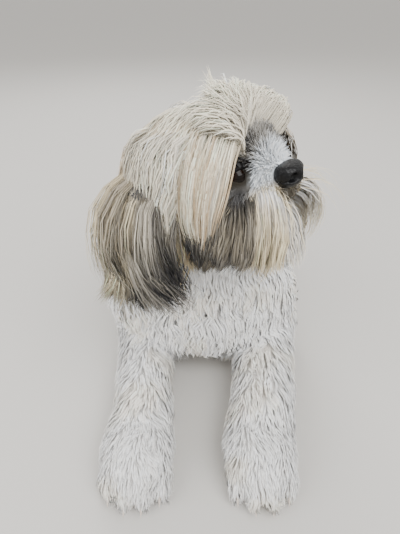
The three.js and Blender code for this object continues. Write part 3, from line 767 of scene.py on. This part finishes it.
# Cheeks and moustache: fall from under the eyes and forward from the lips, with a dark band on the near side.
cheek = {"Right": 4800, "Left": 1920, "long": 54, "width": 1.0, "lift": 8}
for side, s in (("Right", -1), ("Left", 1)):
    count = cheek[side]
    clear = ((ql * s > 13) | (qf < 39)) & ((qu < -4) | (qf < 20))
    root = rootsWhere(region(qf > -14, qf < 52, qu < 3, qu > -36, ql * s > 5, clear), count)
    f, l, u = parts(root)
    muzzle = smooth(26, 36, f)
    long = varied(cheek["long"], count, 0.7, 1.1) * (0.85 + 0.25 * muzzle)
    way = aim(-0.25 + 1.05 * muzzle, s * (0.5 + 0.25 * muzzle), -0.55 + 0.25 * muzzle)
    goal = mirrored(s, -10 + muzzle * (22 + (f - 26) * 1.5), 36 - 12 * muzzle, -82 + 6 * muzzle)
    lift = layered(count, -1, 1) * cheek["lift"] + muzzle * rng.uniform(0, 7, count)
    paths = groom(root, way, long, lift, 0.55, 5, draw=0.1, clump=0.7, group=20, wave=1.2, waveLength=46,
                  goal=goal, pull=0.35)
    base = towards(headMarkings(root, 11), "cream", smooth(34, 39, f) + (s > 0) * smooth(-6, 6, f))
    colour = streaked(base, 5, 0.12)
    t = np.linspace(0, 1, 6)[None, :]
    colour = towards(colour, "white", smooth(0.6, 0.1, t) * smooth(34, 39, f)[:, None])
    band = smooth(-10, 2, f)
    tips = smooth(-22, -27, l) * smooth(33, 26, f) * band * 0.9
    roots = smooth(-20, -24, l) * smooth(41, 35, f) * band * smooth(-18, -12, u) * 0.9
    darkened = smooth(0.5, 0.9, t) * tips[:, None] + smooth(0.4, 0.15, t) * roots[:, None]
    colour = towards(colour, "dark", darkened)
    headTuft("coatCheek" + side, paths, varied(cheek["width"], count), colour, "head", "muzzle",
             airy=0.0 if s < 0 else 1.5)

# Chin and throat.
chin = {"count": 1700, "long": 46, "width": 1.3, "lift": 5}
root = rootsWhere(region(qf > 4, qu < -20, np.abs(ql) < 26), chin["count"])
f, l, u = parts(root)
long = varied(chin["long"], chin["count"], 0.7, 1.1) * (0.7 + 0.35 * smooth(5, 20, f))
way = aim(0.6 * smooth(10, 34, f), l * 0.015, -0.9)
paths = groom(root, way, long, layered(chin["count"], 0, chin["lift"]), 0.35, 5, draw=0.1, clump=0.6,
              wave=1.2, goal=mirrored(1, 16 + f, l * 0.8, -86), pull=0.3)
width = varied(chin["width"], chin["count"])
colour = streaked(towards(headMarkings(root), "white", np.full(chin["count"], 0.5)), 5, 0.1)
headTuft("coatChin", paths, width, colour, "jaw", airy=0.8)

# Short hair on the bridge, in the arch over it, round the eyes and on the lips.
short = {"count": 4500, "long": 8.5, "width": 0.8}
roundEyes = (np.hypot(ql, qu - 4) < 25) | (eyeGap < 21)
lips = (qf > 37) & (np.abs(ql) < 14)
root = rootsWhere(region(qf > 10, roundEyes | lips), short["count"])
f, l, u = parts(root)
long = varied(short["long"], short["count"], 0.6, 1.2) * (0.6 + 0.8 * smooth(46, 26, f))
layer = layered(short["count"], -2, 1)
paths = groom(root, radial(root), long, layer, 0.1, 3, draw=0.1, clump=0.3, wave=0.2, frizz=0.25)
width = varied(short["width"], short["count"], 0.7, 1.2)
headTuft("coatFace", paths, width, streaked(headMarkings(root), 3), "head", "muzzle")
print("head coat done")


# Ears: a leather flap bent round the head, its long hair outside.
ear = {"long": 70, "wide": 54, "thick": 6, "forward": -26, "out": 44, "up": 20, "lift": 10, "cup": 5}
earRows = 17
earAround = 24
earHair = {"right": 4300, "left": 1600, "width": 1.0, "wave": 2.2}
earTop = {"right": 1300, "left": 700, "width": 1.25, "long": (44, 64)}


# Rows of centres, side vectors and half widths from the ear's root to its tip; a half width is
# half the ear's times the root of 1 - (1.35 t - 0.4) squared.
def earSheet(s):
    heading = alongHead((-0.2, s * 0.6, -0.2))
    point = onHead((ear["forward"], s * (ear["out"] - 8), ear["up"]))
    rows = []
    for n in range(earRows):
        rows.append(point)
        heading = unit(heading + down * 0.3)
        ahead = point + heading * ear["long"] / (earRows - 1)
        d, g = sample(ahead[None])
        if n > 2:
            ahead = ahead + g[0] * max(0, ear["lift"] - d[0])
        heading = unit(ahead - point)
        point = ahead
    rows = np.array(rows)
    t = np.linspace(0, 1, earRows)
    _, out = sample(rows)
    along = unit(np.gradient(rows, axis=0))
    across = unit(np.cross(along, out))
    half = ear["wide"] / 2 * np.sqrt(np.maximum(0.03, 1 - (1.35 * t - 0.4) ** 2))
    return rows, along, across, np.cross(across, along), half, t


# Closed flap: half cos a across, half the thickness sin a over, cupped by cos squared a.
def earFlap(s):
    rows, along, across, over, half, t = earSheet(s)
    a = np.linspace(0, 2 * math.pi, earAround, endpoint=False)
    cup = -ear["cup"] * np.cos(a)[None] ** 2 * np.sin(math.pi * t)[:, None]
    points = (rows[:, None] + across[:, None] * (half[:, None] * np.cos(a))[..., None]
              + over[:, None] * (ear["thick"] / 2 * np.sin(a)[None] + cup)[..., None])
    index, quads = tubeQuads(earRows, earAround)
    faces = [list(q) for q in quads] + [list(index[0]), list(index[-1][::-1])]
    return points.reshape(-1, 3), faces


# Values between rows, by linear interpolation.
def between(values, pick):
    i = np.minimum(pick.astype(int), len(values) - 2)
    w = (pick - i).reshape((-1,) + (1,) * (values.ndim - 1))
    return values[i] * (1 - w) + values[i + 1] * w


for side, s in (("left", 1), ("right", -1)):
    earNode = ["ear_" + side]
    points, faces = earFlap(s)
    colour = np.ones(points.shape) * tones["grey"] * 0.25
    finishPiece("earLeather_" + side, points, faces, skinShader.material, earNode, colour)
    rows, along, across, over, half, t = earSheet(s)
    count = earHair[side]
    v = rng.uniform(0.0, 1, count) ** 1.15  # place down the ear
    x = rng.uniform(-1, 1, count)  # place across it, 1 at the back edge
    pick = v * (earRows - 1)
    centreAt, alongAt, acrossAt = between(rows, pick), between(along, pick), between(across, pick)
    overAt, halfAt = between(over, pick), between(half, pick)
    back = np.sign(-(acrossAt @ forward))
    outside = rng.uniform(0, 1, count) < 0.85
    root = centreAt + acrossAt * (x * back * halfAt * 0.92)[:, None]
    height = -ear["cup"] * x**2 * np.sin(math.pi * v) + np.where(outside, 3.2, -2)
    root = root + overAt * height[:, None]
    way = alongAt + aim(0.15 - 0.3 * x, 0.1 * s * x, -0.35 * (x < 0))
    share = (x + 1) / 2
    goal = mirrored(s, -12 - 92 * share, 46 + 32 * share, -101 - 6 * np.sin(math.pi * share))
    goal = goal + rng.normal(size=goal.shape) * 3
    long = np.linalg.norm(goal - root, axis=1) * rng.uniform(0.72, 1.06, count)
    d, _ = sample(root)
    lift = np.maximum(d, ear["lift"] + 3.5) + layered(count, 0, 6)
    curl = aim(0.8, 0, 0.3) * 14 * (rng.uniform(0, 1, count) ** 2 * smooth(0.8, -0.2, x))[:, None]
    stations = 6
    paths = groom(root, way, long, lift, 0.5, stations, rise=0.15, draw=0.1, group=16, wave=earHair["wave"],
                  waveLength=70, frizz=0.9, curl=curl, normal=overAt, goal=goal, pull=0.8)
    base = np.ones(root.shape) * tones["cream"]
    base = towards(base, "grey", smooth(0.5, -0.6, x + 0.5 * cloud(root, 16, 30)) * 0.75)
    base = towards(base, "tan", smooth(0.35, -0.05, v) * smooth(-0.3, 0.3, x) * 0.75)
    base = towards(base, "warm", smooth(0.25, 0.6, cloud(root, 12, 31)) * 0.35)
    base = towards(base, "dark", smooth(0.2, 0.7, cloud(root, 9, 33)) * smooth(0.3, -0.5, x) * 0.6)
    colour = streaked(base, stations, 0.22)
    downHair = np.linspace(0, 1, stations + 1)[None, :]
    uneven = (0.6 + 0.4 * smooth(-0.7, 0.2, cloud(root, 11, 35)))[:, None]
    start = (0.25 + 0.25 * smooth(-0.4, 0.6, x))[:, None]
    ends = smooth(start, start + 0.4, downHair) * (0.7 + 0.3 * smooth(0.9, -0.1, x))[:, None] * uneven
    colour = colour * (1 - ends[..., None]) + tones["dark"] * 1.6 * ends[..., None]
    width = varied(earHair["width"], count, 0.6, 1.25)
    tuft("coatEar_" + side, paths, width, colour, "head", earMaterial, "ear_coat", earNode)
    # The tuft over the ear's root, pale in front and tan behind.
    count = earTop[side]
    root = rootsWhere(region(qf > -64, qf < 0, ql * s > 20, qu > 0, qu < 34), count)
    f, l, u = parts(root)
    long = rng.uniform(*earTop["long"], count)
    way = aim(-0.3 - 0.012 * (-20 - f), 0.55 * s, -0.2)
    goal = mirrored(s, f * 1.05 - 10, 66, -50)
    paths = groom(root, way, long, layered(count, 11, 18), 0.6, 5, rise=0.5, draw=0.2, clump=0.6, group=18,
                  wave=1.5, goal=goal, pull=0.6)
    base = np.ones(root.shape) * tones["warm"]
    base = towards(base, "tan", smooth(-26, -40, f + 6 * cloud(root, 12, 61)) * 0.7)
    base = towards(base, "grey", smooth(0.2, 0.9, cloud(root, 10, 63)) * 0.35)
    width = varied(earTop["width"], count, 0.6, 1.25)
    colour = streaked(base, 5, 0.15)
    tuft("coatEarTop_" + side, paths, width, colour, "head", earMaterial, "ear_coat", earNode)
print("ears done")

# Body coat: white, wavy, shorter towards the feet.
bodyCoat = {
    "chest": {"count": 5400, "long": 31, "width": 2.3, "lift": 2, "stations": 4, "droop": 0.3, "wave": 2.2,
              "rise": 0.2},
    "back": {"count": 3800, "long": 27, "width": 3.0, "lift": 1, "stations": 3, "droop": 0.2},
    "foreleg": {"count": 3400, "long": 19, "width": 2.1, "lift": 1, "stations": 3, "droop": 0.12, "wave": 1.0,
                "rise": 0.15},
    "paw": {"count": 3300, "long": 13, "width": 1.6, "lift": 0.6, "stations": 3, "droop": 0.12, "wave": 0.4,
            "clump": 0.4, "rise": 0.15},
    "hindleg": {"count": 1800, "long": 20, "width": 2.5, "lift": 1, "stations": 3, "droop": 0.15},
    "tail": {"count": 1400, "long": 54, "width": 2.4, "lift": 7, "stations": 5, "droop": 0.8},
}
qx, qy, qz = quadMiddles.T
isBody = ~onHeadSkin


# One kind of body coat, grown where the mask allows.
def coatOn(name, mask, kind, way, unwrap, *nodes):
    coat = {"wave": 2.0, "clump": 0.58, "rise": 0.3, **bodyCoat[kind]}
    count = coat["count"]
    root = rootsWhere((isBody & mask).astype(float), count)
    long = varied(coat["long"], count, 0.75, 1.15)
    layer = layered(count, -2, coat["lift"])
    paths = groom(root, way(root), long, layer, coat["droop"], coat["stations"], rise=coat["rise"],
                  clump=coat["clump"], group=20, wave=coat["wave"], waveLength=22, frizz=0.4, draw=0.3)
    colour = streaked(bodyMarkings(root), coat["stations"], 0.05) * 1.08
    width = varied(coat["width"], count, 0.6, 1.25)
    tuft(name, paths, width, colour, unwrap, coatMaterial, "coat", nodes, soft=0.88)


# A direction along the skin, with the noise that parts and swirls a coat.
def flow(x, y, z, swirl=0.45):
    def way(p):
        _, g = sample(p)
        v = np.ones(p.shape) * vec(x, y, z)
        v = v + np.stack([cloud(p, 30, 41), cloud(p, 34, 43), cloud(p, 32, 47)], -1) * swirl
        return unit(v - (v * g).sum(-1, keepdims=True) * g)
    return way


chest = (qy < 20) & (qz > 60)
legFront = (qy < 24) & (qz <= 66) & (np.abs(qx) > 26)
paws = legFront & (qy < -150)
hind = (qy > 108) & (qz < 90) & (np.abs(qx) > 50)
tailZone = (qy > 205) & (qz > 135) & (np.abs(qx) < 60) & ((qy > 292) | (qz > 166))
coatOn("coatChest", chest & ~legFront, "chest", flow(0, 0.1, -1, 0.8), "body", "torso", "neck")
coatOn("coatBack", (qy >= 20) & ~hind & ~tailZone, "back", flow(0, 0.8, -0.5), "body", "torso")
for side, sign in (("left", 1), ("right", -1)):
    here = qx * sign > 0
    foreleg = "foreleg_" + side
    coatOn("coatForeleg_" + side, legFront & ~paws & here, "foreleg", flow(0, -0.9, -0.35), side, foreleg)
    coatOn("coatPaw_" + side, paws & here, "paw", flow(0, -0.9, -0.3), side, foreleg)
    coatOn("coatHindleg_" + side, hind & here, "hindleg", flow(0, 0.3, -0.9), "body", "hindleg_" + side)
coatOn("coatTail", tailZone, "tail", flow(0.3, -0.8, 0.1), "tail", "tail")
print("body coat done")

# Eyes: glossy dark balls with a dark brown iris and black pupil, under black-rimmed lids.
eyeLook = {"pupil": (0.006, 0.004, 0.003), "iris": (0.011, 0.005, 0.003), "white": (0.12, 0.09, 0.08),
           "cornea": 0.7, "around": 48}
lid = {"tone": (0.006, 0.005, 0.005), "rows": 12, "hair": 900, "long": (5, 9), "width": 0.9}
eyeShader = Shader("eye", Roughness=0.06, Specular_IOR_Level=0.14)
eyeShader.feed("Base Color", eyeShader.attribute("coatColour"))
lidShader = Shader("lid", Roughness=0.5, Specular_IOR_Level=0.08)
lidShader.feed("Base Color", lidShader.attribute("coatColour"))


# The angle from the gaze at which the almond opening of the lids ends.
def almond(turn):
    wide = math.atan(eye["wide"] / eye["radius"])
    tall = math.atan(eye["tall"] / eye["radius"])
    return 1 / np.sqrt((np.cos(turn) / wide) ** 2 + (np.sin(turn) / tall) ** 2)


for side, s in (("left", 1), ("right", -1)):
    middle = onHead((eye["forward"], s * eye["out"], eye["up"]))
    gaze = unit(alongHead((0.88, s * 0.46, 0.05)))
    across = unit(np.cross(upward, gaze))
    over = np.cross(gaze, across)
    # Ball: gaze cos a + spoke sin a, with the cornea's swelling of exp(-(a / 0.5) squared).
    tilt = np.linspace(0, math.pi, 40)[1:]
    turn = np.linspace(0, 2 * math.pi, eyeLook["around"], endpoint=False)
    spokes = np.cos(turn)[:, None] * across + np.sin(turn)[:, None] * over
    swelling = eye["radius"] + eyeLook["cornea"] * np.exp(-((tilt / 0.5) ** 2))
    ring = np.cos(tilt)[:, None, None] * gaze + np.sin(tilt)[:, None, None] * spokes
    front = middle + gaze * (eye["radius"] + eyeLook["cornea"])
    points = np.vstack([[front], (middle + ring * swelling[:, None, None]).reshape(-1, 3)])
    index, quads = tubeQuads(len(tilt), eyeLook["around"], 1)
    faces = [[0, a, b] for a, b in zip(index[0], np.roll(index[0], -1))]
    faces += [list(q) for q in quads] + [list(index[-1][::-1])]
    angle = np.concatenate([[0], np.repeat(tilt, eyeLook["around"])])
    colour = np.ones(points.shape) * vec(*eyeLook["pupil"])
    iris = (smooth(0.36, 0.44, angle) * smooth(0.95, 0.8, angle))[:, None]
    colour = colour * (1 - iris) + vec(*eyeLook["iris"]) * iris
    white = smooth(1.0, 1.15, angle)[:, None]
    colour = colour * (1 - white) + vec(*eyeLook["white"]) * white
    finishPiece("eyeball_" + side, points, faces, eyeShader.material, ["eye_" + side], colour)
    # Lid: from the almond opening out over the ball, and back inside it.
    rim = almond(turn)
    v = np.linspace(0, 1, lid["rows"])
    polar = rim[None] + (1.5 - rim[None]) * v[:, None] ** 1.3
    lift = 0.15 + 1.5 * np.sqrt(np.minimum(1, v * 6)) * (1 - 0.35 * v)
    ring = np.cos(polar)[..., None] * gaze + np.sin(polar)[..., None] * spokes
    outer = middle + ring * (eye["radius"] + lift)[:, None, None]
    inner = middle + ring[::-1] * (eye["radius"] + 0.1)
    points = np.vstack([outer.reshape(-1, 3), inner.reshape(-1, 3)])
    index = np.arange(len(points)).reshape(2 * lid["rows"], eyeLook["around"])
    below = np.roll(index, -1, 0)
    quads = np.stack([index, below, np.roll(below, -1, 1), np.roll(index, -1, 1)], -1).reshape(-1, 4)
    colour = np.ones(points.shape) * vec(*lid["tone"])
    finishPiece("lids_" + side, points, quads, lidShader.material, ["head"], colour)
    # Short dark hair on the lids, pointing away from the eye.
    count = lid["hair"]
    around = rng.uniform(0, 2 * math.pi, count)
    rim = almond(around)
    polar = rim + 0.1 + (1.45 - rim) * rng.uniform(0, 1, count)
    away = np.cos(around)[:, None] * across + np.sin(around)[:, None] * over
    outOfEye = np.cos(polar)[:, None] * gaze + np.sin(polar)[:, None] * away
    root = middle + outOfEye * (eye["radius"] + 1.5)
    way = unit(np.cos(polar)[:, None] * away - np.sin(polar)[:, None] * gaze)
    way = way + down * 0.3 + aim(-0.2, s * 0.2, 0)
    long = rng.uniform(*lid["long"], count)
    paths = groom(root, way, long, None, 0.1, 3, rise=0.5, draw=0.0, clump=0.3, wave=0.1, frizz=0.25,
                  normal=outOfEye)
    base = np.ones(root.shape) * tones["dark"]
    base = towards(base, "grey", smooth(0.2, 0.9, cloud(root, 6, 51)) * 0.25)
    width = varied(lid["width"], count, 0.7, 1.2)
    headTuft("coatLid_" + side, paths, width, streaked(base, 3, 0.3), "head", soft=0.3)

# Nose: a leather pad, cos a by sin a cos b by sin a sin b, filled at its corners and dented by comma
# nostrils and a groove down its front.
noseLook = {"tone": (0.003, 0.003, 0.0035, 1), "hole": 6.0, "slit": 3.0, "groove": 1.1,
            "rings": 70, "around": 96}
noseShader = Shader("noseLeather", Base_Color=noseLook["tone"], Roughness=0.34, Specular_IOR_Level=0.2)
cells = {"Vector": noseShader.place(), "Scale": 700.0}
noseShader.bump(noseShader.node("ShaderNodeTexVoronoi", {}, cells, "Distance"), 0.0005, 0.6)
tilt = np.linspace(0, math.pi, noseLook["rings"] + 2)[1:-1]
turn = np.linspace(0, 2 * math.pi, noseLook["around"], endpoint=False)
a, b = np.meshgrid(tilt, turn, indexing="ij")
sphere = ((1, np.cos(a), -1), (0, np.sin(a) * np.cos(b), 0), (0, np.sin(a) * np.sin(b), 0))
nx, ny, nz = [np.concatenate([[first], q.ravel(), [last]]) for first, q, last in sphere]
dent = 0
for s in (-1, 1):
    hole = np.hypot((ny * s - 0.46) / 0.27, (nz + 0.02) / 0.3)
    slit = np.hypot((ny * s - 0.76) / 0.3, (nz + 0.26) / 0.1)
    dent = dent + noseLook["hole"] * np.exp(-(hole**4)) + noseLook["slit"] * np.exp(-(slit**2))
groove = noseLook["groove"] * np.exp(-((ny / 0.05) ** 2)) * smooth(0.35, 0, nz)
dent = np.where(nx > 0, dent + groove, 0)
square = 1 + 0.14 * (2 * ny * nz) ** 2  # fuller at the corners than a ball
flu = np.stack([nose["forward"] + nose["deep"] * nx - dent,
                nose["half"] * ny * square * (1 - 0.12 * smooth(0, -1, nz)),
                nose["up"] + nose["tall"] * nz * square * (1 - 0.16 * smooth(0.3, 1, nz))], -1)
index, quads = tubeQuads(noseLook["rings"], noseLook["around"], 1)
faces = [list(q) for q in quads] + [[0, p, q] for p, q in zip(index[0], np.roll(index[0], -1))]
faces += [[len(flu) - 1, q, p] for p, q in zip(index[-1], np.roll(index[-1], -1))]
finishPiece("nosePad", onHead(flu), faces, noseShader.material, ["nose"])

# Claws: cones in the front of each toe that thin by t to the 1.5 and bend down by t squared.
claw = {"long": 13, "radius": 2.7, "bend": 4.5, "rings": 10, "around": 14}
toeRows = {
    "fore": {"lead": (17, 25), "front": pawFront, "deep": 18, "tall": 14, "step": 14.5},
    "hind": {"lead": (13, 17), "front": hindPaw["front"], "deep": 14, "tall": 11, "step": 11},
}
clawShader = Shader("claw", Base_Color=(0.55, 0.48, 0.42, 1), Roughness=0.4)
t = np.linspace(0, 0.98, claw["rings"])
radius = claw["radius"] * (1 - t**1.5) + 0.05
a = np.linspace(0, 2 * math.pi, claw["around"], endpoint=False)
sideways = np.outer(radius * 0.7, np.cos(a))
section = np.stack([sideways, 0 * sideways, np.outer(radius, np.sin(a))], -1)
index, quads = tubeQuads(claw["rings"], claw["around"])
faces = [list(q[::-1]) for q in quads] + [list(index[0]), list(index[-1][::-1])]
for which, toes in toeRows.items():
    for limb in limbs:
        side = "left" if limb["side"] > 0 else "right"
        middle = limb["paw"] if which == "fore" else limb["side"] * hindPaw["x"]
        for n, toe in enumerate((-1.5, -0.5, 0.5, 1.5)):
            y = toes["front"] + toes["lead"][abs(toe) > 1] - toes["deep"] + 7
            height = toes["tall"] * 0.8 - claw["bend"] * t * t
            line = np.stack([0 * t + middle + toe * toes["step"], y - claw["long"] * t, height], -1)
            points = (line[:, None] + section).reshape(-1, 3)
            place = f"{which}_{side}_{n + 1}"
            finishPiece("horn_" + place, points, faces, clawShader.material, ["claw_" + place])
print("eyes, nose and claws done")

# Floor, soft lights and the photograph's camera.
floorShader = Shader("floor", Base_Color=(0.5, 0.485, 0.46, 1), Roughness=0.9)
bpy.ops.mesh.primitive_plane_add(size=80, location=(0, 0, 0))
floor = bpy.context.object
floor.name = "floor"
floor.data.materials.append(floorShader.material)
world = bpy.data.worlds.new("studio")
world.use_nodes = True
sky = world.node_tree.nodes["Background"]
sky.inputs[0].default_value = (1.0, 0.985, 0.96, 1)
sky.inputs[1].default_value = 1.15
bpy.context.scene.world = world
lamps = {
    "key": {"place": (0.7, -1.0, 1.6), "size": 1.3, "power": 42},
    "fill": {"place": (-1.2, -0.8, 1.0), "size": 1.3, "power": 18},
    "rim": {"place": (-0.3, 1.3, 1.4), "size": 0.9, "power": 20},
}
for name, lamp in lamps.items():
    light = bpy.data.lights.new(name, "AREA")
    light.size = lamp["size"]
    light.energy = lamp["power"]
    stand = bpy.data.objects.new(name, light)
    bpy.context.scene.collection.objects.link(stand)
    stand.location = lamp["place"]
    towardsDog = np.array([0, 0, 0.15]) - np.array(lamp["place"])
    stand.rotation_euler = Vector(towardsDog).to_track_quat("-Z", "Y").to_euler()
focalPixels = 401
pictureHeight = 534
camera = bpy.data.objects.new("camera", bpy.data.cameras.new("camera"))
bpy.context.scene.collection.objects.link(camera)
camera.location = (0, -0.37, 0.365)
camera.rotation_euler = (math.radians(55), 0, 0)
camera.data.lens = 36 * focalPixels / pictureHeight
camera.data.clip_start = 0.02
bpy.context.scene.camera = camera

print("triangles in all", sum(len(p.data.loops) - 2 * len(p.data.polygons) for p in pieces))
